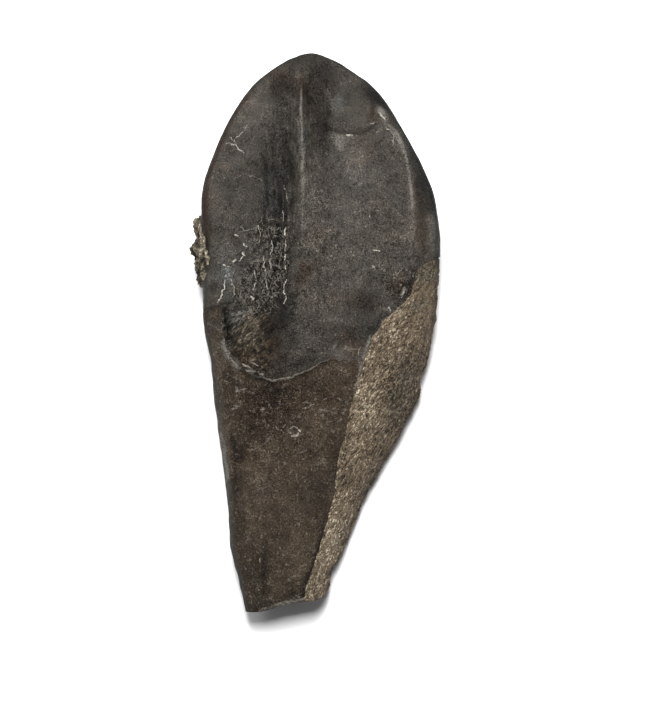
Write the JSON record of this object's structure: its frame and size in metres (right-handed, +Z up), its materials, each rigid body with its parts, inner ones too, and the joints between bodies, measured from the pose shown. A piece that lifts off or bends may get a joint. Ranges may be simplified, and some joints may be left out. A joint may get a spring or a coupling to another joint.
{
  "type": "fossil dinosaur tooth",
  "caption": "Spoon-shaped fossil tooth with a ridged hollow crown and a broken root, still carrying sandy matrix along one side and a crumb of it on the crown's edge.",
  "frame": {"origin": "middle of the bounding box's bottom face, on the surface that the tooth rests on", "axes": "+Y along the tooth towards the tip of its crown, +X towards the side with the matrix, +Z up out of the crown's hollow side"},
  "size_m": [0.0266, 0.06, 0.0117],
  "materials": {
    "fossil": "satin brown-black enamel on the crown, duller root",
    "matrix": "rough, sandy"
  },
  "bodies": {
    "root": {"tooth": "fossil", "matrix_side": "matrix", "matrix_crumb": "matrix"}
  },
  "joints": []
}
